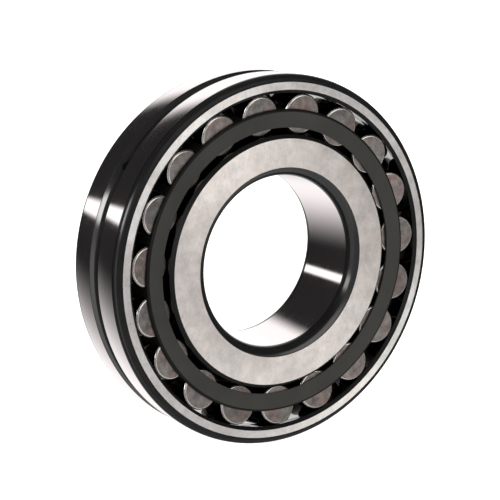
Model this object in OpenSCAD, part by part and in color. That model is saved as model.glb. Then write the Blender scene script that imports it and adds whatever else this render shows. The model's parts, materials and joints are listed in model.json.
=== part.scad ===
// Double-row spherical roller bearing, standing upright with its axis along Y.
// The origin is at the centre of the outer ring's spherical raceway, and the front
// side faces -Y. The rollers, cages, guide ring and inner ring swivel in that sphere.
// Sizes are in millimetres and angles in degrees.

/* [Boundary sizes] */
// Diameter of the bore in the inner ring
bore_d = 65; // [63:0.5:66]
// Outside diameter of the outer ring
outer_d = 140; // [139:0.5:144]
// Width of both rings
ring_w = 33; // [33:0.5:36]

/* [Ring edges] */
// Radius that rounds the outer ring's outside corners
outer_corner_r = 2.9; // [1:0.1:4]
// Radial width of the bevel between the outer ring's side face and its raceway
raceway_bevel = 1.4; // [0.6:0.1:1.8]
// Radius of the arc that leads into the bore
bore_corner_r = 4.6; // [4.5:0.1:6]
// Depth of that arc along the bore
bore_corner_l = 4.4; // [2:0.1:4.4]
// Diameter at which the inner ring's flat side face ends
inner_face_d = 93.2; // [90:0.1:95]

/* [Lubrication] */
// Width of the groove round the outer ring
groove_w = 6.5; // [4:0.1:9]
// Depth of the groove
groove_depth = 1.7; // [0.8:0.1:2.2]
// Number of radial oil holes in the groove
oil_holes = 3; // [1:1:6]
// Diameter of each oil hole
oil_hole_d = 4; // [2:0.5:4.5]
// Place of the first oil hole, from +X towards +Z
oil_hole_start = 25; // [0:1:119]

/* [Rollers] */
// Number of rollers in each row
rollers = 19; // [15:1:19]
// Greatest diameter of a roller
roller_d = 15.6; // [15:0.1:15.8]
// Length of a roller
roller_l = 12.2; // [11.6:0.1:12.4]
// Radius of a roller's barrel-shaped profile
crown_r = 63.5; // [60:0.5:64]
// Chamfer at each end of a roller
roller_chamfer = 0.5; // [0.2:0.1:0.8]
// Angle between a row's contact line and the radial plane
contact_angle = 8.5; // [8.3:0.1:9]
// Radius of the outer ring's spherical raceway
raceway_r = 64.92; // [64.8:0.01:65.2]
// Place of the front row's first roller, from +X towards +Z
front_start = 4.2; // [0:0.1:18]
// Place of the rear row's first roller, half a pitch further on
rear_start = 13.7; // [0:0.1:18]

/* [Cages and guide ring] */
// Thickness of the pressed steel sheet
sheet_t = 1.1; // [0.8:0.1:1.2]
// Height of the cage cone's outside above the row's pitch cone
cage_rise = 1.75; // [1.4:0.05:1.9]
// Reach of the cage flange below the pitch cone
flange_reach = 5; // [3:0.1:5.5]
// Width of the cage rim beyond the rollers' inner ends
rim_w = 1.5; // [1:0.1:1.6]
// Radius that rounds the pressed corner between cone and flange
press_r = 0.8; // [0.3:0.1:1]
// Width of the land on the inner ring that the guide ring rides on
land_w = 2.5; // [2:0.1:3]

/* [Clearances] */
// Gap between a roller and each raceway
roller_gap = 0.12; // [0.1:0.01:0.2]
// Gap between a roller and its cage pocket
pocket_gap = 0.16; // [0.12:0.01:0.25]
// Gap between the guide ring and whatever it runs against
guide_gap = 0.14; // [0.12:0.01:0.2]

/* [Hidden] */
$fn = 96;
// fragments in a full turn of the big, shallow arcs and of the revolved rings
ARC_FN = 720;
RING_FN = 240;
// how far a cutting shape runs past the surface it cuts
EPS = 1;
// how much flatter than the barrel the inner raceway's arc is
RACE_OPENING = 2;

half_w = ring_w / 2;
bore_r = bore_d / 2;
outer_r = outer_d / 2;
inner_face_r = inner_face_d / 2;
// a roller's middle, as distance from the origin, radius and axial place
centre_dist = raceway_r - roller_gap - roller_d / 2;
pitch_r = centre_dist * cos(contact_angle);
row_y = centre_dist * sin(contact_angle);
// the barrel's radius where it meets the roller's end
barrel_drop = crown_r - sqrt(crown_r * crown_r - roller_l * roller_l / 4);
roller_end_r = roller_d / 2 - barrel_drop;
// the inner raceway's arc, with its centre on the row's contact line
inner_race_r = crown_r + RACE_OPENING;
inner_race_shift = inner_race_r - roller_d / 2 - roller_gap;
inner_race_x = (centre_dist + inner_race_shift) * cos(contact_angle);
inner_race_y = (centre_dist + inner_race_shift) * sin(contact_angle);
// distances along a roller's axis from its middle
pocket_end = roller_l / 2 + pocket_gap;
guide_face = roller_l / 2 + guide_gap;
// height of the cage cone's underside above the pitch cone
cage_under = cage_rise - sheet_t;
// radii of the inner ring's land and of the guide ring on it
land_r = inner_race_x - sqrt(pow(inner_race_r, 2) - pow(inner_race_y - land_w / 2, 2));
guide_in_r = land_r + guide_gap;
guide_cage_gap = 1.5 * guide_gap;
guide_out_r = pitch_r + guide_face * sin(contact_angle)
            + cage_under * cos(contact_angle) - guide_cage_gap;
// radius at which the outer ring's side face gives way to the raceway bevel
shoulder_r = sqrt(raceway_r * raceway_r - half_w * half_w) + raceway_bevel;
// radius of the arc that forms the lubrication groove
groove_r = (groove_w * groove_w / 4 + groove_depth * groove_depth) / (2 * groove_depth);

// place of a row's first roller; side is -1 for the front row, +1 for the rear
function row_start(side) = side < 0 ? front_start : rear_start;
function two_digits(i) = str(i < 10 ? "0" : "", i);
function roller_name(row, i) = str("roller_", row, "_", two_digits(i));
// half the guide ring's thickness at radius r: its sides stay parallel to the roller ends
function guide_half(r) = row_y - guide_face * cos(contact_angle)
                       + (r - pitch_r - guide_face * sin(contact_angle)) * tan(contact_angle);

ROLLER_NAMES = [for (row = ["front", "rear"], i = [1:rollers]) roller_name(row, i)];

// turns a body made about Z into one about Y, so that its +Z side faces +Y
module about_y() {
    rotate([-90, 0, 0]) children();
}

// revolves a section, drawn with radius along x and the axial place along y, about Y
module ring() {
    about_y() rotate_extrude($fn = RING_FN) children();
}

// draws a section twice, once on each side of the middle plane
module both_sides() {
    children();
    mirror([0, 1]) children();
}

// the rear row's section frame: its origin is a roller's middle, x runs across the
// roller away from the bearing axis, and y runs along it away from the middle plane
module row_section() {
    translate([pitch_r, row_y]) rotate(contact_angle) children();
}

// puts a child made about Z where a row has a roller at that angle
module at_roller(side, angle) {
    rotate([0, -angle, 0])
        translate([pitch_r, side * row_y, 0])
            rotate([0, 0, side * contact_angle])
                about_y() children();
}

// one child for each roller of a row
module row(side) {
    for (i = [0:rollers - 1])
        at_roller(side, row_start(side) + i * 360 / rollers) children();
}

// what a rounding takes off a square corner at the origin whose body lies in -x, -y
module corner_waste(r) {
    difference() {
        translate([-r, -r]) square(r + EPS);
        translate([-r, -r]) circle(r);
    }
}

module outer_section() {
    difference() {
        translate([pitch_r, -half_w]) square([outer_r - pitch_r, ring_w]);
        // raceway
        circle(raceway_r, $fn = ARC_FN);
        both_sides() {
            translate([outer_r, half_w]) corner_waste(outer_corner_r);
            // bevel between the side face and the raceway
            polygon([[pitch_r - EPS, half_w + EPS],
                     [shoulder_r + EPS, half_w + EPS],
                     [shoulder_r - 2 * raceway_bevel, half_w - 2 * raceway_bevel],
                     [pitch_r - EPS, half_w - 2 * raceway_bevel]]);
        }
        // lubrication groove
        translate([outer_r - groove_depth + groove_r, 0]) circle(groove_r);
    }
}

module outer_ring() {
    color("silver")
    difference() {
        ring() outer_section();
        for (i = [0:oil_holes - 1])
            rotate([0, -(oil_hole_start + i * 360 / oil_holes), 0])
                translate([pitch_r, 0, 0])
                    rotate([0, 90, 0]) cylinder(d = oil_hole_d, h = outer_r - pitch_r + EPS);
    }
}

module inner_section() {
    difference() {
        translate([bore_r, -half_w]) square([land_r - bore_r, ring_w]);
        both_sides() {
            // raceway
            row_section() translate([inner_race_shift, 0]) circle(inner_race_r, $fn = ARC_FN);
            // lead into the bore
            difference() {
                translate([bore_r - EPS, half_w - bore_corner_l])
                    square([bore_corner_r + EPS, bore_corner_l + EPS]);
                translate([bore_r + bore_corner_r, half_w - bore_corner_l]) circle(bore_corner_r);
            }
            // bevel between the side face and the raceway
            polygon([[inner_face_r - EPS, half_w + EPS],
                     [land_r, half_w - land_r + inner_face_r],
                     [land_r + EPS, half_w + EPS]]);
        }
    }
}

module inner_ring() {
    color("silver") ring() inner_section();
}

module guide_ring() {
    color("gray")
    ring() polygon([[guide_in_r, -guide_half(guide_in_r)],
                    [guide_out_r, -guide_half(guide_out_r)],
                    [guide_out_r, guide_half(guide_out_r)],
                    [guide_in_r, guide_half(guide_in_r)]]);
}

// pressed sheet: a cone that holds the rollers apart and a flange in front of their ends
module cage_section() {
    row_section()
    difference() {
        translate([-flange_reach, -pocket_end - rim_w])
            square([flange_reach + cage_rise, 2 * pocket_end + rim_w + sheet_t]);
        translate([-flange_reach - EPS, -pocket_end - rim_w - EPS])
            square([flange_reach + cage_under + EPS, 2 * pocket_end + rim_w + EPS]);
        translate([cage_rise, pocket_end + sheet_t]) corner_waste(press_r);
    }
}

module cage(side) {
    color("dimgray")
    difference() {
        mirror([0, side < 0 ? 1 : 0, 0]) ring() cage_section();
        row(side) cylinder(r = roller_d / 2 + pocket_gap, h = 2 * pocket_end, center = true);
    }
}

module roller_section() {
    difference() {
        intersection() {
            translate([0, -roller_l / 2]) square([roller_d / 2, roller_l]);
            translate([roller_d / 2 - crown_r, 0]) circle(crown_r, $fn = ARC_FN);
        }
        both_sides()
            polygon([[roller_end_r - roller_chamfer - EPS, roller_l / 2 + EPS],
                     [roller_end_r + EPS, roller_l / 2 - roller_chamfer - EPS],
                     [roller_end_r + EPS, roller_l / 2 + EPS]]);
    }
}

module roller(side, i) {
    color("lightgray")
    at_roller(side, row_start(side) + (i - 1) * 360 / rollers)
        rotate_extrude() roller_section();
}

outer_ring();
inner_ring();
guide_ring();
cage(-1);  // cage_front
cage(1);  // cage_rear
for (i = [1:rollers]) {
    roller(-1, i);
    roller(1, i);
}
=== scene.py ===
import json
import math

import bmesh
import bpy
from mathutils import Matrix, Vector

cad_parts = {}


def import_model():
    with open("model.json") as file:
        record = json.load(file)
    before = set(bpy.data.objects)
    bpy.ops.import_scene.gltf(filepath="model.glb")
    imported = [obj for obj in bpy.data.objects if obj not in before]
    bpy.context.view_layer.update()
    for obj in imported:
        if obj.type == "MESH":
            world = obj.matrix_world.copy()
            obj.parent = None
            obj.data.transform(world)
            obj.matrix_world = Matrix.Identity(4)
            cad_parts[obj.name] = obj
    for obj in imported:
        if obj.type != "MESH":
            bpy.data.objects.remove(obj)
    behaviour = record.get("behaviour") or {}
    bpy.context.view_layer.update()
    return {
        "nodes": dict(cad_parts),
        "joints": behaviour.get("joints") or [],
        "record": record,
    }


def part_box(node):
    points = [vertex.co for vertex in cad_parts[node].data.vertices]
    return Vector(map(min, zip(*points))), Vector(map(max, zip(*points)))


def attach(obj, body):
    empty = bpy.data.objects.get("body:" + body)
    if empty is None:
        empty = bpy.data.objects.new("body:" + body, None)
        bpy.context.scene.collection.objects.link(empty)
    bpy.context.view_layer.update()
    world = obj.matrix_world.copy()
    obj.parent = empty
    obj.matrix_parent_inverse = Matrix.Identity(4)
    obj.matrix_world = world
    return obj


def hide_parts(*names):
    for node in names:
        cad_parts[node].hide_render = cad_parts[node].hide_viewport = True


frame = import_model()

MM = 0.001
RECORD = frame["record"]
MOUNTS = {mount["name"]: mount for mount in RECORD["mounts"]}
JOINTS = {joint["child"]: joint for joint in frame["joints"]}

# ---- camera: where it stands round the bearing, and how far the bearing is off its axis
CAMERA_AZIMUTH = math.radians(-33.21)
CAMERA_ELEVATION = math.radians(12.35)
CAMERA_DISTANCE = 0.538
CAMERA_PAN_RIGHT = -0.00317
CAMERA_PAN_UP = 0.00197
CAMERA_LENS = 101.7
CAMERA_SENSOR = 36.0
CAMERA_NEAR = 0.01

# ---- sizes taken from the frame
OUTER_LOW, OUTER_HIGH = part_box("outer_ring")
OUTER_R = OUTER_HIGH.x
HALF_W = OUTER_HIGH.y
BORE_R = MOUNTS["bore"]["dims"]["r_mm"] * MM
BORE_HALF = MOUNTS["bore"]["dims"]["length_mm"] * MM / 2
SEAT_HALF = MOUNTS["outer_seat"]["dims"]["length_mm"] * MM / 2
GUIDE_OUT_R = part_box("guide_ring")[1].x
ROLLER_ONE = JOINTS["roller_rear_01"]
ROLLER_AXIS = Vector(ROLLER_ONE["axis"])
ROLLER_PLACE = Vector(ROLLER_ONE["pos_m"])
PITCH_R = math.hypot(ROLLER_PLACE.x, ROLLER_PLACE.z)
ROW_Y = ROLLER_PLACE.y
CONTACT_ANGLE = math.acos(ROLLER_AXIS.y)
ROLLERS = len([name for name in JOINTS if name.startswith("roller_rear")])

# ---- sizes that the frame doesn't state, as the CAD model has them
RACEWAY_R = 64.92 * MM
RACEWAY_BEVEL = 1.4 * MM
GROOVE_HALF = 3.25 * MM
GROOVE_DEPTH = 1.7 * MM
OIL_HOLES = 3
OIL_HOLE_R = 2.0 * MM
OIL_HOLE_START = math.radians(25)
INNER_FACE_R = 46.6 * MM
BORE_CORNER_R = 4.6 * MM
INNER_RACE_R = 65.5 * MM
LAND_HALF = 1.25 * MM
ROLLER_R = 7.8 * MM
ROLLER_HALF = 6.1 * MM
CROWN_R = 63.5 * MM
ROLLER_CHAMFER = 0.5 * MM
ROLLER_GAP = 0.12 * MM
POCKET_GAP = 0.16 * MM
GUIDE_GAP = 0.14 * MM
SHEET_T = 1.1 * MM
CAGE_RISE = 1.75 * MM
FLANGE_REACH = 5.0 * MM
RIM_W = 1.5 * MM
PRESS_R = 0.8 * MM

# ---- where a surface changes its finish: the share of the groove's arc that is its floor, made dull as painted shade, and the angle
# ---- at which the outer ring's rounded corner changes from shoulder to corner; the shoulder is made less
# reflective as painted shade
GROOVE_FLOOR = 0.5
CORNER_SPLIT = math.radians(42)

# ---- the studio as the steel mirrors it. In front of the bearing: a dim room, a table and a soft box,
# ---- which is given by its direction, half angle, fade and colour
FRONT_LEVEL = (0.62, 0.605, 0.60)
TABLE_LEVEL = (1.25, 1.225, 1.20)
TABLE_EDGE = (-0.35, -0.60)
FLOOR_GLOW = 0.85
SOFT_BOX = ((0.13, -0.78, 0.60), 20, 12, (2.8, 2.75, 2.62))
# ---- beside and behind it: a dark room with long panels parallel to the bearing's axis, each given by
# ---- its angle from +X towards +Z, its half width, the fade beyond that, and its brightness
BESIDE_FROM = (-0.70, -0.60)
BESIDE_DARK = 0.1
BESIDE_PANELS = {
    "strip": (160, 5, 4, 9.0),
    "table": (255, 65, 30, 0.9),
}
BETWEEN_FROM = (0.0, 0.10)
BETWEEN_LEVEL = (0.14, 0.14, 0.14)
BEHIND_FROM = (0.50, 0.62)
BEHIND_DARK = 0.02
BEHIND_PANELS = {
    "window": (30, 32, 25, 1.2),
    "strip": (162, 3, 4, 1.4),
    "table": (290, 5, 90, 1.1),
}

FLOOR_R = 9.0
FLOOR_GAP = 0.02 * MM
TOP_LIGHT_PLACE = (0.3, -0.4, 1.6)
TOP_LIGHT_AIM = (0, 0, 0)
TOP_LIGHT_SIZE = 1.4
TOP_LIGHT_POWER = 16

# ---- roller ends: how bright each kind is against the average, how far apart the kinds' patterns are,
# ---- and how the kinds and the turns are dealt out to the rollers
END_TONES = (1.0, 0.86, 1.12, 0.94, 1.05)
END_SEED_STEP = 3.7
END_STRIDE = 2
GOLDEN_TURN = math.radians(137.5)

# ---- mesh fineness
RING_SEGMENTS = 288
ROLLER_SEGMENTS = 72
DRILL_SEGMENTS = 48
FLOOR_SEGMENTS = 96
OUTER_RACE_STEPS = 28
INNER_RACE_STEPS = 24
CORNER_STEPS = 6
BORE_CORNER_STEPS = 10
GROOVE_FLOOR_STEPS = 12
GROOVE_WALL_STEPS = 6
BARREL_STEPS = 16
PRESS_STEPS = 6
WINDOW_ROWS, WINDOW_COLUMNS, BAR_COLUMNS = 6, 8, 4
HALVINGS = 40
ON_AXIS = 1e-9
DRILL_LENGTH = GROOVE_DEPTH * 8

# ---- broken edges: their size, the most that they take of a span, and the turn that counts as no edge
EDGE_STEPS = 3
EDGE_R = 0.12 * MM
EDGE_SHARE = 0.45
SMOOTH_TURN = math.radians(20)
SHEARED_EDGE = 0.14 * MM
SHEARED_STEPS = 2
SHEARED_FROM = math.radians(50)

# ---- faces that meet at more than this many degrees are shaded as an edge
SHARP_ANGLE = 50
SHEET_SHARP_ANGLE = 40

SIN_A, COS_A = math.sin(CONTACT_ANGLE), math.cos(CONTACT_ANGLE)


# ---------------------------------------------------------------- outlines

def arc(centre, radius, start, end, steps):
    """Points of an arc in the half-plane of radius and axial place, angles in radians."""
    points = []
    for i in range(steps + 1):
        a = start + (end - start) * i / steps
        points.append((centre[0] + radius * math.cos(a), centre[1] + radius * math.sin(a)))
    return points


def mirrored(strokes):
    """The same strokes on the other side of the middle plane, in the order that goes on round."""
    return [(finish, [(r, -y) for r, y in reversed(points)]) for finish, points in reversed(strokes)]


def toward(a, b, distance):
    """The point at that distance from a on the way to b, or at EDGE_SHARE of the way if that is nearer."""
    length = math.hypot(b[0] - a[0], b[1] - a[1])
    t = min(distance / length, EDGE_SHARE)
    return (a[0] + (b[0] - a[0]) * t, a[1] + (b[1] - a[1]) * t)


def heading(a, b):
    return math.atan2(b[1] - a[1], b[0] - a[0])


def broken_edges(strokes, edges, closed=True):
    """Rounds each corner where one stroke meets the next, as a tumbled or deburred edge.

    edges maps a stroke's finish to the finish of its edges; other edges take the bright edge finish,
    partly wear and partly painted highlight."""
    out = []
    count = len(strokes)
    turned = [False] * count
    for i in range(count if closed else count - 1):
        points, following = strokes[i][1], strokes[(i + 1) % count][1]
        turn = heading(*following[:2]) - heading(*points[-2:])
        turned[i] = abs(math.remainder(turn, 2 * math.pi)) > SMOOTH_TURN
    for i, (finish, points) in enumerate(strokes):
        points = list(points)
        ahead, following = strokes[(i + 1) % count]
        corner = points[-1]
        if turned[i - 1]:
            points[0] = toward(points[0], points[1], EDGE_R)
        if not turned[i]:
            out.append((finish, points))
            continue
        before = toward(corner, points[-2], EDGE_R)
        after = toward(corner, following[1], EDGE_R)
        points[-1] = before
        out.append((finish, points))
        bend = []
        for k in range(EDGE_STEPS + 1):
            t = k / EDGE_STEPS
            bend.append(tuple(
                (1 - t) ** 2 * before[n] + 2 * t * (1 - t) * corner[n] + t * t * after[n]
                for n in (0, 1)))
        out.append((edges.get(finish) or edges.get(ahead) or "edge", bend))
    return out


def flatten(strokes):
    """One list of points and, for each of them, the finish of the span that starts there."""
    points, finishes = [], []
    for finish, stroke in strokes:
        for p in stroke[:-1]:
            points.append(p)
            finishes.append(finish)
    return points, finishes


# ---------------------------------------------------------------- meshes

def new_piece(name, bm, materials):
    bmesh.ops.recalc_face_normals(bm, faces=bm.faces)
    mesh = bpy.data.meshes.new(name)
    bm.to_mesh(mesh)
    bm.free()
    for material in materials:
        mesh.materials.append(material)
    piece = bpy.data.objects.new(name, mesh)
    bpy.context.scene.collection.objects.link(piece)
    return piece


def smooth(piece, sharp_angle=SHARP_ANGLE):
    mesh = piece.data
    mesh.polygons.foreach_set("use_smooth", [True] * len(mesh.polygons))
    mesh.set_sharp_from_angle(angle=math.radians(sharp_angle))


def revolved(name, strokes, finishes, segments):
    """A closed outline turned about Y. finishes maps a stroke's finish to its material."""
    points, spans = flatten(strokes)
    order = list(finishes)
    bm = bmesh.new()
    rings = []
    for r, y in points:
        turn = [2 * math.pi * k / segments for k in range(segments)]
        rings.append([bm.verts.new((r * math.cos(a), y, r * math.sin(a))) for a in turn])
    for i, finish in enumerate(spans):
        here, there = rings[i], rings[(i + 1) % len(rings)]
        for k in range(segments):
            j = (k + 1) % segments
            face = bm.faces.new((here[k], there[k], there[j], here[j]))
            face.material_index = order.index(finish)
    piece = new_piece(name, bm, [finishes[finish] for finish in order])
    smooth(piece)
    return piece


def capped(name, strokes, finishes, segments):
    """A solid turned about its own Z from an open outline that starts and ends on the axis."""
    order = list(finishes)
    bm = bmesh.new()
    spans, rings = [], []
    points = [(finish, p) for finish, stroke in strokes for p in stroke[:-1]]
    points.append((strokes[-1][0], strokes[-1][1][-1]))
    for finish, (r, z) in points:
        if r < ON_AXIS:
            rings.append([bm.verts.new((0, 0, z))])
        else:
            turn = [2 * math.pi * k / segments for k in range(segments)]
            rings.append([bm.verts.new((r * math.cos(a), r * math.sin(a), z)) for a in turn])
        spans.append(finish)
    for i in range(len(rings) - 1):
        here, there = rings[i], rings[i + 1]
        for k in range(segments):
            j = (k + 1) % segments
            if len(here) == 1:
                corners = (here[0], there[k], there[j])
            elif len(there) == 1:
                corners = (here[k], there[0], here[j])
            else:
                corners = (here[k], there[k], there[j], here[j])
            bm.faces.new(corners).material_index = order.index(spans[i])
    piece = new_piece(name, bm, [finishes[finish] for finish in order])
    smooth(piece)
    return piece


def subtract(piece, cutters):
    """Cuts the cutters out of the piece and keeps the result as its mesh."""
    for cutter in cutters:
        cut = piece.modifiers.new("cut", "BOOLEAN")
        cut.operation = "DIFFERENCE"
        cut.solver = "EXACT"
        cut.material_mode = "TRANSFER"
        cut.object = cutter
    depsgraph = bpy.context.evaluated_depsgraph_get()
    result = bpy.data.meshes.new_from_object(piece.evaluated_get(depsgraph))
    piece.modifiers.clear()
    piece.data = result
    for cutter in cutters:
        bpy.data.objects.remove(cutter)
    smooth(piece)


def stands_for(piece, node):
    """The piece takes the place of that CAD node and rides on its body."""
    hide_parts(node)
    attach(piece, node)


# ---------------------------------------------------------------- materials

class NodeTree:
    """Short helpers that materials and world share."""

    def __init__(self, tree):
        self.nodes = tree.nodes
        self.links = tree.links

    def math(self, operation, a, b=None, c=None):
        node = self.nodes.new("ShaderNodeMath")
        node.operation = operation
        for socket, value in zip(node.inputs, (a, b, c)):
            if value is None:
                continue
            if isinstance(value, (int, float)):
                socket.default_value = value
            else:
                self.links.new(value, socket)
        return node.outputs[0]

    def mixed(self, factor, a, b):
        """Colour a where the factor is 0 and colour b where it is 1; either may be a socket."""
        node = self.nodes.new("ShaderNodeMix")
        node.data_type = "RGBA"
        self.links.new(factor, node.inputs["Factor"])
        for socket, value in ((node.inputs["A"], a), (node.inputs["B"], b)):
            if isinstance(value, tuple):
                socket.default_value = (*value, 1)
            else:
                self.links.new(value, socket)
        return node.outputs["Result"]


class Finish(NodeTree):
    """A Principled material with short helpers for the procedural patterns on it."""

    def __init__(self, name, colour, metallic, roughness, specular=0.5):
        self.material = bpy.data.materials.new(name)
        self.material.use_nodes = True
        super().__init__(self.material.node_tree)
        self.shader = self.nodes["Principled BSDF"]
        self.shader.inputs["Base Color"].default_value = (*colour, 1)
        self.shader.inputs["Metallic"].default_value = metallic
        self.shader.inputs["Roughness"].default_value = roughness
        self.shader.inputs["Specular IOR Level"].default_value = specular
        self.colour = colour
        self.place = self.nodes.new("ShaderNodeTexCoord").outputs["Object"]
        self.height = None
        self.seed = 0.0

    def marks_round(self, axis, amount):
        """Fine marks run round that axis, so highlights stretch across them."""
        tangent = self.nodes.new("ShaderNodeTangent")
        tangent.direction_type = "RADIAL"
        tangent.axis = axis
        self.links.new(tangent.outputs[0], self.shader.inputs["Tangent"])
        self.shader.inputs["Anisotropic"].default_value = amount
        self.shader.inputs["Anisotropic Rotation"].default_value = 0.25

    def axis(self, name):
        split = self.nodes.new("ShaderNodeSeparateXYZ")
        self.links.new(self.place, split.inputs[0])
        return split.outputs[name]

    def distance_from(self, point):
        node = self.nodes.new("ShaderNodeVectorMath")
        node.operation = "DISTANCE"
        self.links.new(self.place, node.inputs[0])
        node.inputs[1].default_value = point
        return node.outputs["Value"]

    def lines(self, along, per_metre, detail=2.0, roughness=0.6):
        """Parallel marks: noise that only changes along one measure."""
        noise = self.nodes.new("ShaderNodeTexNoise")
        noise.noise_dimensions = "1D"
        self.links.new(self.math("MULTIPLY_ADD", along, per_metre, self.seed), noise.inputs["W"])
        noise.inputs["Scale"].default_value = 1.0
        noise.inputs["Detail"].default_value = detail
        noise.inputs["Roughness"].default_value = roughness
        return noise.outputs["Fac"]

    def cloud(self, per_metre, detail=3.0, roughness=0.55, stretch=(1, 1, 1)):
        """Blotches: plain 3D noise, optionally stretched."""
        mapping = self.nodes.new("ShaderNodeMapping")
        mapping.inputs["Scale"].default_value = stretch
        mapping.inputs["Location"].default_value = (self.seed, 0, 0)
        self.links.new(self.place, mapping.inputs["Vector"])
        noise = self.nodes.new("ShaderNodeTexNoise")
        self.links.new(mapping.outputs[0], noise.inputs["Vector"])
        noise.inputs["Scale"].default_value = per_metre
        noise.inputs["Detail"].default_value = detail
        noise.inputs["Roughness"].default_value = roughness
        return noise.outputs["Fac"]

    def blend(self, a, a_share, b, b_share):
        """The sum of two patterns, each times its share."""
        return self.math("ADD", self.math("MULTIPLY", a, a_share), self.math("MULTIPLY", b, b_share))

    def rescaled(self, value, low, high, from_low=0.3, from_high=0.7):
        node = self.nodes.new("ShaderNodeMapRange")
        self.links.new(value, node.inputs["Value"])
        node.inputs["From Min"].default_value = from_low
        node.inputs["From Max"].default_value = from_high
        node.inputs["To Min"].default_value = low
        node.inputs["To Max"].default_value = high
        return node.outputs["Result"]

    def colour_from(self, value, dark, light, from_low=0.3, from_high=0.7):
        factor = self.rescaled(value, 0, 1, from_low, from_high)
        shade = self.mixed(factor, tuple(c * dark for c in self.colour),
                           tuple(min(1, c * light) for c in self.colour))
        self.links.new(shade, self.shader.inputs["Base Color"])

    def stained(self, value, tint, from_low=0.3, from_high=0.7):
        """Multiplies the colour so far by that tint where the value is high."""
        colour = self.shader.inputs["Base Color"].links[0].from_socket
        node = self.nodes.new("ShaderNodeMix")
        node.data_type = "RGBA"
        node.blend_type = "MULTIPLY"
        self.links.new(self.rescaled(value, 0, 1, from_low, from_high), node.inputs["Factor"])
        self.links.new(colour, node.inputs["A"])
        node.inputs["B"].default_value = (*tint, 1)
        self.links.new(node.outputs["Result"], self.shader.inputs["Base Color"])

    def roughness_from(self, value, low, high, from_low=0.3, from_high=0.7):
        self.links.new(self.rescaled(value, low, high, from_low, from_high),
                       self.shader.inputs["Roughness"])

    def bump(self, value, depth):
        """Adds relief of that depth in metres."""
        node = self.nodes.new("ShaderNodeBump")
        node.inputs["Strength"].default_value = 1.0
        node.inputs["Distance"].default_value = depth
        self.links.new(value, node.inputs["Height"])
        if self.height is not None:
            self.links.new(self.height, node.inputs["Normal"])
        self.height = node.outputs["Normal"]
        self.links.new(self.height, self.shader.inputs["Normal"])


def crossed_arcs(finish, offset, per_metre):
    """The crossing arcs that a cup wheel leaves on a ground face."""
    left = finish.lines(finish.distance_from((-offset, 0, offset * 0.35)), per_metre)
    right = finish.lines(finish.distance_from((offset, 0, offset * 0.5)), per_metre)
    return finish.math("MULTIPLY", finish.math("ADD", left, right), 0.5)


def ground_face(name, colour, round_marks, roughness):
    """Side faces of the rings: bright satin steel with crossing grinding arcs."""
    finish = Finish(name, colour, 1.0, roughness)
    finish.marks_round("Y", round_marks)
    coarse = crossed_arcs(finish, 0.16, 1500)
    fine = crossed_arcs(finish, 0.11, 7000)
    marks = finish.blend(coarse, 0.4, fine, 0.6)
    blotch = finish.cloud(160, detail=9.0, roughness=0.8)
    shade = finish.blend(marks, 0.25, blotch, 0.75)
    finish.colour_from(shade, dark=0.76, light=1.12, from_low=0.38, from_high=0.62)
    warm = finish.cloud(60, detail=4.0)
    finish.stained(warm, tint=(1.0, 0.975, 0.95), from_low=0.42, from_high=0.62)
    finish.roughness_from(marks, low=roughness - 0.03, high=roughness + 0.03)
    finish.bump(fine, 0.003 * MM)
    finish.bump(coarse, 0.003 * MM)
    return finish.material


def polished_seat():
    """Outside diameter and bore: fine-ground almost to a mirror, with faint lines round them."""
    finish = Finish("polished_seat", (0.86, 0.79, 0.785), 1.0, 0.11)
    finish.marks_round("Y", 0.8)
    streaks = finish.cloud(90, detail=3.0, roughness=0.6, stretch=(1, 45, 1))
    broad = finish.lines(finish.axis("Y"), 1800)
    haze = finish.cloud(45)
    finish.roughness_from(finish.blend(streaks, 0.75, haze, 0.25), low=0.05, high=0.17)
    finish.colour_from(broad, dark=0.95, light=1.03)
    return finish.material


def hardened_skin(name, colour, roughness, specular):
    """Turned surfaces left black by the heat treatment, under a film of oil. The shoulder, bevel and
    groove floor copies are made duller or less reflective as painted shade.
    """
    finish = Finish(name, colour, 0.0, roughness, specular)
    turned = finish.cloud(70, detail=4.0, roughness=0.6, stretch=(1, 60, 1))
    blotch = finish.cloud(120, detail=4.0)
    finish.colour_from(finish.blend(turned, 0.5, blotch, 0.5), dark=0.6, light=1.6)
    finish.roughness_from(turned, low=roughness * 0.8, high=roughness * 1.3)
    finish.bump(turned, 0.002 * MM)
    return finish.material


def honed_raceway(name, colour):
    """Raceways: honed and oiled mirrors, their steel colour darkened as painted shade for the dark inside
    between the rollers.
    """
    finish = Finish(name, colour, 1.0, 0.02)
    lines = finish.lines(finish.axis("Y"), 12000)
    film = finish.cloud(260, detail=4.0)
    finish.roughness_from(film, low=0.01, high=0.035)
    finish.colour_from(lines, dark=0.85, light=1.1)
    return finish.material


def worn_edge_highlight():
    """Deburred edges, rubbed brighter than the faces beside them: partly wear, partly a painted highlight
    along the rims.
    """
    finish = Finish("worn_edge_highlight", (0.80, 0.77, 0.75), 1.0, 0.24)
    nicks = finish.cloud(1600, detail=4.0)
    finish.colour_from(nicks, dark=0.7, light=1.05)
    finish.roughness_from(nicks, low=0.16, high=0.34)
    return finish.material


def roller_end(name, tone, seed):
    """Ends of the rollers: ground grey, with fine marks and brownish stains that the seed shifts."""
    finish = Finish(name, (0.25 * tone, 0.236 * tone, 0.222 * tone), 1.0, 0.33)
    finish.seed = seed
    marks = finish.lines(finish.distance_from((0.03, 0.012, 0)), 4200)
    fine = finish.lines(finish.distance_from((-0.024, 0.02, 0)), 14000)
    stain = finish.cloud(330, detail=5.0, roughness=0.7)
    streaks = finish.blend(marks, 0.6, fine, 0.4)
    shade = finish.blend(streaks, 0.4, stain, 0.6)
    finish.colour_from(shade, dark=0.55, light=1.5, from_low=0.38, from_high=0.64)
    brown = finish.cloud(150, detail=3.0)
    finish.stained(brown, tint=(1.12, 0.93, 0.92), from_low=0.46, from_high=0.62)
    finish.roughness_from(stain, low=0.26, high=0.42)
    finish.bump(marks, 0.004 * MM)
    finish.bump(fine, 0.002 * MM)
    return finish.material


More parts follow.
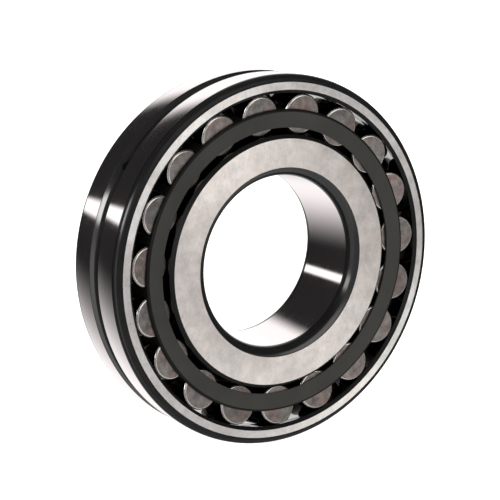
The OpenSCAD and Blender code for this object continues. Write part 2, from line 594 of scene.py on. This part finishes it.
def roller_rim():
    """The tumbled chamfer round a roller's end: greyer than its edges."""
    finish = Finish("roller_rim", (0.30, 0.285, 0.275), 1.0, 0.3)
    tumble = finish.cloud(2400, detail=4.0)
    finish.colour_from(tumble, dark=0.7, light=1.2)
    finish.roughness_from(tumble, low=0.24, high=0.4)
    return finish.material


def roller_barrel_shaded():
    """The rolling surface: superfinished, with the faintest lines round the roller; its steel is darkened
    near to black as painted shade for the bearing's dark inside.
    """
    finish = Finish("roller_barrel_shaded", (0.06, 0.057, 0.055), 1.0, 0.05)
    lines = finish.lines(finish.axis("Z"), 15000, detail=3.0)
    haze = finish.cloud(300)
    finish.roughness_from(haze, low=0.03, high=0.08)
    finish.colour_from(lines, dark=0.93, light=1.04)
    return finish.material


def pressed_steel(name, colour, specular):
    """Cage sheet: dark phosphate skin, satin, finely crystalline. Its near-black, less shiny sleeve copy
    is painted shade.
    """
    finish = Finish(name, colour, 0.3, 0.48, specular)
    grain = finish.cloud(5200, detail=3.0)
    drift = finish.cloud(60, detail=2.0)
    finish.colour_from(finish.blend(grain, 0.4, drift, 0.6), dark=0.8, light=1.25)
    finish.roughness_from(grain, low=0.38, high=0.56)
    finish.bump(grain, 0.005 * MM)
    return finish.material


def rubbed_sheet():
    """Edges of the pressed sheet, where the dark skin is rubbed thin."""
    finish = Finish("rubbed_sheet", (0.04, 0.038, 0.036), 0.6, 0.42)
    wear = finish.cloud(1400, detail=4.0)
    finish.colour_from(wear, dark=0.5, light=1.5)
    finish.roughness_from(wear, low=0.3, high=0.5)
    finish.bump(wear, 0.004 * MM)
    return finish.material


def turned_guide():
    """Guide ring: turned steel, oiled and grey."""
    finish = Finish("turned_guide", (0.22, 0.21, 0.2), 1.0, 0.3)
    finish.marks_round("Y", 0.6)
    lines = finish.lines(finish.distance_from((0, 0, 0)), 8000)
    film = finish.cloud(300, detail=3.0)
    finish.colour_from(lines, dark=0.8, light=1.15)
    finish.roughness_from(film, low=0.22, high=0.4)
    finish.bump(lines, 0.004 * MM)
    return finish.material


OUTER_FACE = ground_face("outer_face", (0.94, 0.905, 0.89), 0.90, 0.52)
INNER_FACE = ground_face("inner_face", (0.90, 0.85, 0.825), 0.6, 0.44)
POLISHED = polished_seat()
CORNER_SKIN = hardened_skin("corner_skin", (0.005, 0.0049, 0.005), 0.18, 0.45)
# painted shade: the shoulder is the front-facing part of the outer ring's rounded corner, a far less
# reflective copy of the corner skin
SHOULDER_SHADE_SKIN = hardened_skin("shoulder_painted_shade", (0.007, 0.0068, 0.007), 0.22, 0.08)
GROOVE_WALL = hardened_skin("groove_wall", (0.007, 0.0068, 0.0072), 0.12, 1.0)
# painted shade: the bevels beside the raceways are a blacker, less reflective copy of the skin, standing
# in for the dark gap next to them
BEVEL_SHADE_SKIN = hardened_skin("bevel_painted_shade", (0.003, 0.0029, 0.0028), 0.45, 0.15)
# painted shade: the groove's floor and the oil holes take a dull, rough copy of the groove's skin,
# standing in for the shade deep in the groove
GROOVE_SHADE_SKIN = hardened_skin("groove_painted_shade", (0.005, 0.0048, 0.0052), 0.4, 0.25)
# painted shade: both raceways are darkened steel, the inner one darker still
OUTER_RACE_SHADED = honed_raceway("outer_raceway_painted_shade", (0.32, 0.31, 0.30))
INNER_RACE_SHADED = honed_raceway("inner_raceway_painted_shade", (0.09, 0.087, 0.084))
# edges that are partly worn and partly a painted highlight, on the roller and guide-ring rims
WORN_EDGE_HIGHLIGHT = worn_edge_highlight()
ROLLER_ENDS = [roller_end(f"roller_end_{i}", tone, i * END_SEED_STEP) for i, tone in enumerate(END_TONES)]
ROLLER_RIM = roller_rim()
# painted shade: the roller barrels are near-black steel
ROLLER_BARREL_SHADED = roller_barrel_shaded()
FLANGE = pressed_steel("cage_flange", (0.026, 0.0257, 0.0228), 0.4)
# painted shade: the sleeve is a near-black, less shiny copy of the flange's sheet, for the cage body deep
# between the rollers
SHADED_SLEEVE = pressed_steel("cage_sleeve_painted_shade", (0.005, 0.0048, 0.0044), 0.15)
RUBBED = rubbed_sheet()
TURNED = turned_guide()


# ---------------------------------------------------------------- rings

def outer_ring():
    corner_r = HALF_W - SEAT_HALF
    corner_centre = (OUTER_R - corner_r, corner_r - HALF_W)
    shoulder_r = math.sqrt(RACEWAY_R ** 2 - HALF_W ** 2) + RACEWAY_BEVEL
    groove_r = (GROOVE_HALF ** 2 + GROOVE_DEPTH ** 2) / (2 * GROOVE_DEPTH)
    groove_x = OUTER_R - GROOVE_DEPTH + groove_r
    groove_half_angle = math.asin(GROOVE_HALF / groove_r)
    # the bevel leaves the side face at 45 degrees and ends where it meets the raceway
    reach = shoulder_r + HALF_W
    gap = reach ** 2 - 2 * (shoulder_r ** 2 + HALF_W ** 2 - RACEWAY_R ** 2)
    bevel = (reach - math.sqrt(gap)) / 2
    mouth = math.atan2(HALF_W - bevel, shoulder_r - bevel)
    floor_half_angle = groove_half_angle * GROOVE_FLOOR
    groove_floor = arc((groove_x, 0), groove_r, math.pi + floor_half_angle,
                       math.pi - floor_half_angle, GROOVE_FLOOR_STEPS)
    wall = arc((groove_x, 0), groove_r, math.pi + groove_half_angle,
               math.pi + floor_half_angle, GROOVE_WALL_STEPS)
    front = [
        ("raceway", arc((0, 0), RACEWAY_R, 0, -mouth, OUTER_RACE_STEPS)),
        ("bevel", [(shoulder_r - bevel, bevel - HALF_W), (shoulder_r, -HALF_W)]),
        ("face", [(shoulder_r, -HALF_W), (OUTER_R - corner_r, -HALF_W)]),
        ("shoulder", arc(corner_centre, corner_r, -math.pi / 2, -CORNER_SPLIT, CORNER_STEPS)),
        ("corner", arc(corner_centre, corner_r, -CORNER_SPLIT, 0, CORNER_STEPS)),
        ("seat", [(OUTER_R, corner_r - HALF_W), (OUTER_R, -GROOVE_HALF)]),
        ("wall", wall),
    ]
    strokes = front + [("groove", groove_floor)] + mirrored(front)
    edges = {"bevel": "bevel", "shoulder": "shoulder", "corner": "corner", "wall": "groove"}
    piece = revolved("outer_ring_body", broken_edges(strokes, edges),
                     {"raceway": OUTER_RACE_SHADED, "bevel": BEVEL_SHADE_SKIN, "face": OUTER_FACE,
                      "shoulder": SHOULDER_SHADE_SKIN, "corner": CORNER_SKIN, "seat": POLISHED,
                      "wall": GROOVE_WALL, "groove": GROOVE_SHADE_SKIN}, RING_SEGMENTS)
    drills = []
    for i in range(OIL_HOLES):
        angle = OIL_HOLE_START + 2 * math.pi * i / OIL_HOLES
        bm = bmesh.new()
        bmesh.ops.create_cone(bm, cap_ends=True, segments=DRILL_SEGMENTS, radius1=OIL_HOLE_R,
                              radius2=OIL_HOLE_R, depth=DRILL_LENGTH)
        drill = new_piece("oil_hole_drill", bm, [GROOVE_SHADE_SKIN])
        turn = Matrix.Rotation(-angle, 4, "Y") @ Matrix.Translation((RACEWAY_R, 0, 0))
        drill.matrix_world = turn @ Matrix.Rotation(math.pi / 2, 4, "Y")
        drills.append(drill)
    bpy.context.view_layer.update()
    subtract(piece, drills)
    stands_for(piece, "outer_ring")


def inner_ring():
    """Makes the ring and returns the radius of the land between its raceways."""
    centre = PITCH_R / COS_A + INNER_RACE_R - ROLLER_R - ROLLER_GAP
    race_x, race_y = centre * COS_A, -centre * SIN_A

    def race_radius(y):
        return race_x - math.sqrt(INNER_RACE_R ** 2 - (y - race_y) ** 2)

    def race_angle(y):
        return math.pi - math.asin((y - race_y) / INNER_RACE_R)

    # the bevel leaves the side face at 45 degrees and ends where it meets the raceway
    bevel = race_radius(-HALF_W) - INNER_FACE_R
    mouth_y = bevel - HALF_W
    corner_l = HALF_W - BORE_HALF
    corner_centre = (BORE_R + BORE_CORNER_R, -BORE_HALF)
    corner_top = math.asin(corner_l / BORE_CORNER_R)
    corner = arc(corner_centre, BORE_CORNER_R, math.pi, math.pi + corner_top, BORE_CORNER_STEPS)
    raceway = arc((race_x, race_y), INNER_RACE_R, race_angle(mouth_y), race_angle(-LAND_HALF),
                  INNER_RACE_STEPS)
    front = [
        ("corner", corner),
        ("face", [corner[-1], (INNER_FACE_R, -HALF_W)]),
        ("bevel", [(INNER_FACE_R, -HALF_W), (race_radius(mouth_y), mouth_y)]),
        ("raceway", raceway),
    ]
    land_r = race_radius(-LAND_HALF)
    land = ("land", [(land_r, -LAND_HALF), (land_r, LAND_HALF)])
    bore = ("seat", [(BORE_R, BORE_HALF), (BORE_R, -BORE_HALF)])
    strokes = [bore] + front + [land] + mirrored(front)
    edges = {"bevel": "bevel", "corner": "corner", "land": "land"}
    piece = revolved("inner_ring_body", broken_edges(strokes, edges),
                     {"seat": POLISHED, "corner": CORNER_SKIN, "face": INNER_FACE,
                      "bevel": BEVEL_SHADE_SKIN, "raceway": INNER_RACE_SHADED, "land": TURNED}, RING_SEGMENTS)
    stands_for(piece, "inner_ring")
    return land_r


def guide_ring(land_r):
    face = ROLLER_HALF + GUIDE_GAP

    def half(r):
        """Half the ring's width at that radius: its sides lie along the rollers' inner ends."""
        return ROW_Y - face * COS_A + (r - PITCH_R - face * SIN_A) * SIN_A / COS_A

    inside = land_r + GUIDE_GAP
    strokes = [
        ("turned", [(inside, half(inside)), (inside, -half(inside))]),
        ("turned", [(inside, -half(inside)), (GUIDE_OUT_R, -half(GUIDE_OUT_R))]),
        ("turned", [(GUIDE_OUT_R, -half(GUIDE_OUT_R)), (GUIDE_OUT_R, half(GUIDE_OUT_R))]),
        ("turned", [(GUIDE_OUT_R, half(GUIDE_OUT_R)), (inside, half(inside))]),
    ]
    piece = revolved("guide_ring_body", broken_edges(strokes, {}),
                     {"turned": TURNED, "edge": WORN_EDGE_HIGHLIGHT}, RING_SEGMENTS)
    stands_for(piece, "guide_ring")


# ---------------------------------------------------------------- rollers

def roller_mesh():
    """One roller about its own Z, drawn once and shared by all of them."""
    drop = CROWN_R - math.sqrt(CROWN_R ** 2 - ROLLER_HALF ** 2)
    end_r = ROLLER_R - drop
    barrel_end = ROLLER_HALF - ROLLER_CHAMFER
    sweep = math.asin(barrel_end / CROWN_R)
    barrel = arc((ROLLER_R - CROWN_R, 0), CROWN_R, -sweep, sweep, BARREL_STEPS)
    flat_r = end_r - ROLLER_CHAMFER
    mid_r = flat_r * 0.5
    low = [("end", [(0, -ROLLER_HALF), (mid_r, -ROLLER_HALF), (flat_r, -ROLLER_HALF)]),
           ("rim", [(flat_r, -ROLLER_HALF), barrel[0]])]
    high = [("rim", [barrel[-1], (flat_r, ROLLER_HALF)]),
            ("end", [(flat_r, ROLLER_HALF), (mid_r, ROLLER_HALF), (0, ROLLER_HALF)])]
    strokes = broken_edges(low + [("barrel", barrel)] + high, {}, closed=False)
    piece = capped("roller_master", strokes,
                   {"end": ROLLER_ENDS[0], "rim": ROLLER_RIM, "edge": WORN_EDGE_HIGHLIGHT, "barrel": ROLLER_BARREL_SHADED},
                   ROLLER_SEGMENTS)
    mesh = piece.data
    bpy.data.objects.remove(piece)
    return mesh


def rollers():
    mesh = roller_mesh()
    names = sorted(name for name in frame["nodes"] if name.startswith("roller_"))
    for i, name in enumerate(names):
        joint = JOINTS[name]
        piece = bpy.data.objects.new(name + "_body", mesh)
        bpy.context.scene.collection.objects.link(piece)
        aim = Vector((0, 0, 1)).rotation_difference(Vector(joint["axis"])).to_matrix().to_4x4()
        spin = Matrix.Rotation(GOLDEN_TURN * i, 4, "Z")
        piece.matrix_world = Matrix.Translation(joint["pos_m"]) @ aim @ spin
        piece.material_slots[0].link = "OBJECT"
        piece.material_slots[0].material = ROLLER_ENDS[i * END_STRIDE % len(ROLLER_ENDS)]
        stands_for(piece, name)


# ---------------------------------------------------------------- cages

def cage(name, side):
    """A pressed window cage: closed sheet, with one pocket for each roller of its row.

    across is the height above the pitch cone and along the distance outward from the
    rollers' middle, both in the row's own tilted frame. side is -1 for the front row, +1 for the rear."""
    pocket_end = ROLLER_HALF + POCKET_GAP
    pocket_r = ROLLER_R + POCKET_GAP
    under = CAGE_RISE - SHEET_T
    rim_end = -pocket_end - RIM_W
    front = pocket_end + SHEET_T
    flange_slot, shaded_sleeve_slot, rubbed_slot = 0, 1, 2
    first_place = JOINTS[f"roller_{name}_01"]["pos_m"]
    first = math.atan2(first_place[2], first_place[0])
    pitch = 2 * math.pi / ROLLERS

    def station(across, along):
        return (PITCH_R + across * COS_A - along * SIN_A, ROW_Y + across * SIN_A + along * COS_A)

    def half_window(across, along):
        """Half the pocket's angle at that place, found by halving the interval."""
        r, y = station(across, along)
        low, high = 0.0, pitch / 2
        for _ in range(HALVINGS):
            angle = (low + high) / 2
            sideways = r * math.sin(angle)
            radial = r * math.cos(angle) - PITCH_R
            upward = radial * COS_A + (y - ROW_Y) * SIN_A
            if math.hypot(sideways, upward) < pocket_r:
                low = angle
            else:
                high = angle
        return low

    pocket_steps = [-pocket_end + 2 * pocket_end * k / WINDOW_ROWS for k in range(WINDOW_ROWS + 1)]
    # the section's outline, as (across, along, inside the window's span)
    outside = [(CAGE_RISE, rim_end, False)]
    outside += [(CAGE_RISE, v, True) for v in pocket_steps]
    outside += [(CAGE_RISE - PRESS_R + x, front - PRESS_R + v, False)
                for x, v in arc((0, 0), PRESS_R, 0, math.pi / 2, PRESS_STEPS)]
    inside = [(-FLANGE_REACH, front, False), (-FLANGE_REACH, pocket_end, False)]
    inside += [(under, v, True) for v in reversed(pocket_steps)]
    inside += [(under, rim_end, False)]
    outline = outside + inside
    flange_row = len(outside) - 1
    columns = []
    for k in range(WINDOW_COLUMNS):
        columns.append(("window", k / WINDOW_COLUMNS))
    for k in range(BAR_COLUMNS):
        columns.append(("bar", k / BAR_COLUMNS))

    bm = bmesh.new()
    grid = []
    for across, along, _ in outline:
        reach = half_window(max(across, under), min(max(along, -pocket_end), pocket_end))
        r, y = station(across, along)
        row = []
        for i in range(ROLLERS):
            centre = first + i * pitch
            for part, t in columns:
                if part == "window":
                    angle = centre + reach * (2 * t - 1)
                else:
                    angle = centre + reach + (pitch - 2 * reach) * t
                row.append(bm.verts.new((r * math.cos(angle), side * y, r * math.sin(angle))))
        grid.append(row)
    count = len(grid[0])
    rows = len(grid)
    per_pitch = len(columns)
    for i in range(rows):
        j = (i + 1) % rows
        open_span = outline[i][2] and outline[j][2]
        for k in range(count):
            if open_span and k % per_pitch < WINDOW_COLUMNS:
                continue
            n = (k + 1) % count
            face = bm.faces.new((grid[i][k], grid[i][n], grid[j][n], grid[j][k]))
            # only the flange's front face and inner lip take the flange sheet; every other face, the
            # pressed bend included, takes the near-black sleeve copy as painted shade
            face.material_index = flange_slot if i in (flange_row, flange_row + 1) else shaded_sleeve_slot
    # pocket walls join the outside of the sheet to its inside
    outer_rows = list(range(1, WINDOW_ROWS + 2))
    inner_rows = [len(outside) + 2 + WINDOW_ROWS - k for k in range(WINDOW_ROWS + 1)]
    for i in range(ROLLERS):
        left = i * per_pitch
        right = left + WINDOW_COLUMNS
        for a in range(WINDOW_ROWS):
            for k in (left, right):
                wall = bm.faces.new((grid[outer_rows[a]][k], grid[outer_rows[a + 1]][k],
                                     grid[inner_rows[a + 1]][k], grid[inner_rows[a]][k]))
                wall.material_index = shaded_sleeve_slot
        for k in range(left, right):
            for a in (0, WINDOW_ROWS):
                wall = bm.faces.new((grid[outer_rows[a]][k], grid[outer_rows[a]][k + 1],
                                     grid[inner_rows[a]][k + 1], grid[inner_rows[a]][k]))
                wall.material_index = shaded_sleeve_slot
    piece = new_piece(f"cage_{name}_body", bm, [FLANGE, SHADED_SLEEVE, RUBBED])
    smooth(piece, SHEET_SHARP_ANGLE)
    rounding = piece.modifiers.new("sheared_edge", "BEVEL")
    rounding.width = SHEARED_EDGE
    rounding.segments = SHEARED_STEPS
    rounding.limit_method = "ANGLE"
    rounding.angle_limit = SHEARED_FROM
    rounding.material = rubbed_slot
    rounding.harden_normals = True
    stands_for(piece, f"cage_{name}")


# ---------------------------------------------------------------- studio

def camera():
    back = Vector((math.sin(CAMERA_AZIMUTH) * math.cos(CAMERA_ELEVATION),
                   -math.cos(CAMERA_AZIMUTH) * math.cos(CAMERA_ELEVATION),
                   math.sin(CAMERA_ELEVATION)))
    right = Vector((math.cos(CAMERA_AZIMUTH), math.sin(CAMERA_AZIMUTH), 0))
    up = back.cross(right)
    data = bpy.data.cameras.new("camera")
    data.sensor_width = CAMERA_SENSOR
    data.lens = CAMERA_LENS
    data.clip_start = CAMERA_NEAR
    eye = bpy.data.objects.new("camera", data)
    bpy.context.scene.collection.objects.link(eye)
    place = back * CAMERA_DISTANCE + right * CAMERA_PAN_RIGHT + up * CAMERA_PAN_UP
    turn = Matrix((right, up, back)).transposed().to_4x4()
    eye.matrix_world = Matrix.Translation(place) @ turn
    bpy.context.scene.camera = eye


class Sky(NodeTree):
    """The studio round the bearing: brightness by direction, built up in layers.

    It lights the bearing and is mirrored in it. The camera sees a white backdrop in its place."""

    def __init__(self):
        studio = bpy.data.worlds.new("studio")
        bpy.context.scene.world = studio
        studio.use_nodes = True
        super().__init__(studio.node_tree)
        self.nodes.clear()
        self.direction = self.nodes.new("ShaderNodeTexCoord").outputs["Generated"]
        split = self.nodes.new("ShaderNodeSeparateXYZ")
        self.links.new(self.direction, split.inputs[0])
        self.x, self.y, self.z = split.outputs
        self.light = None

    def smooth_step(self, value, start, end):
        node = self.nodes.new("ShaderNodeMapRange")
        node.interpolation_type = "SMOOTHSTEP"
        self.links.new(value, node.inputs["Value"])
        node.inputs["From Min"].default_value = start
        node.inputs["From Max"].default_value = end
        return node.outputs["Result"]

    def layer(self, mask, colour):
        """Covers what is there with that colour, as far as the mask lets it."""
        self.light = self.mixed(mask, self.light, colour)

    def soft_box(self, centre, half_angle, fade, colour):
        """A round panel in that direction, with an edge that fades over some degrees."""
        node = self.nodes.new("ShaderNodeVectorMath")
        node.operation = "DOT_PRODUCT"
        self.links.new(self.direction, node.inputs[0])
        node.inputs[1].default_value = Vector(centre).normalized()
        outer = math.cos(math.radians(half_angle + fade))
        inner = math.cos(math.radians(half_angle))
        self.layer(self.smooth_step(node.outputs["Value"], outer, inner), colour)

    def long_panels(self, dark, panels):
        """Brightness of panels parallel to Y, added up over the dark between them."""
        angle = self.math("DEGREES", self.math("ARCTAN2", self.z, self.x))
        total = dark
        for centre, half_width, fade, bright in panels.values():
            from_centre = self.math("WRAP", self.math("SUBTRACT", angle, centre), 180.0, -180.0)
            away = self.math("ABSOLUTE", from_centre)
            lit = self.smooth_step(away, half_width + fade, half_width)
            total = self.math("ADD", total, self.math("MULTIPLY", lit, bright))
        return total

    def finish(self):
        sky = self.nodes.new("ShaderNodeBackground")
        self.links.new(self.light, sky.inputs["Color"])
        backdrop = self.nodes.new("ShaderNodeBackground")
        backdrop.inputs["Color"].default_value = (1, 1, 1, 1)
        seen = self.nodes.new("ShaderNodeMixShader")
        camera_ray = self.nodes.new("ShaderNodeLightPath").outputs["Is Camera Ray"]
        self.links.new(camera_ray, seen.inputs["Fac"])
        self.links.new(sky.outputs[0], seen.inputs[1])
        self.links.new(backdrop.outputs[0], seen.inputs[2])
        output = self.nodes.new("ShaderNodeOutputWorld")
        self.links.new(seen.outputs[0], output.inputs["Surface"])


def world():
    """A dim room in front, with a table and a soft box, and long panels beside and behind."""
    sky = Sky()
    sky.light = FRONT_LEVEL
    sky.layer(sky.smooth_step(sky.z, *TABLE_EDGE), TABLE_LEVEL)
    sky.soft_box(*SOFT_BOX)
    beside = sky.long_panels(BESIDE_DARK, BESIDE_PANELS)
    behind = sky.long_panels(BEHIND_DARK, BEHIND_PANELS)
    sky.layer(sky.smooth_step(sky.y, *BESIDE_FROM), beside)
    sky.layer(sky.smooth_step(sky.y, *BETWEEN_FROM), BETWEEN_LEVEL)
    sky.layer(sky.smooth_step(sky.y, *BEHIND_FROM), behind)
    sky.finish()


def floor():
    """A white table, lit a little from within, that isn't mirrored in the bearing."""
    finish = Finish("pale_floor", (0.93, 0.93, 0.93), 0.0, 0.8)
    finish.shader.inputs["Emission Color"].default_value = (1, 1, 1, 1)
    finish.shader.inputs["Emission Strength"].default_value = FLOOR_GLOW
    bm = bmesh.new()
    bmesh.ops.create_circle(bm, cap_ends=True, segments=FLOOR_SEGMENTS, radius=FLOOR_R)
    ground = new_piece("floor", bm, [finish.material])
    ground.location.z = OUTER_LOW.z - FLOOR_GAP
    ground.visible_glossy = False


def soft_light(name, place, aim, size, power):
    data = bpy.data.lights.new(name, "AREA")
    data.shape = "SQUARE"
    data.size = size
    data.energy = power
    lamp = bpy.data.objects.new(name, data)
    bpy.context.scene.collection.objects.link(lamp)
    lamp.location = place
    lamp.rotation_euler = (Vector(aim) - Vector(place)).to_track_quat("-Z", "Y").to_euler()
    lamp.visible_camera = False
    lamp.visible_glossy = False


def studio():
    world()
    floor()
    soft_light("top_light", TOP_LIGHT_PLACE, TOP_LIGHT_AIM, TOP_LIGHT_SIZE, TOP_LIGHT_POWER)
    bpy.context.scene.view_settings.view_transform = "Standard"


camera()
outer_ring()
guide_ring(inner_ring())
cage("front", -1)
cage("rear", 1)
rollers()
studio()
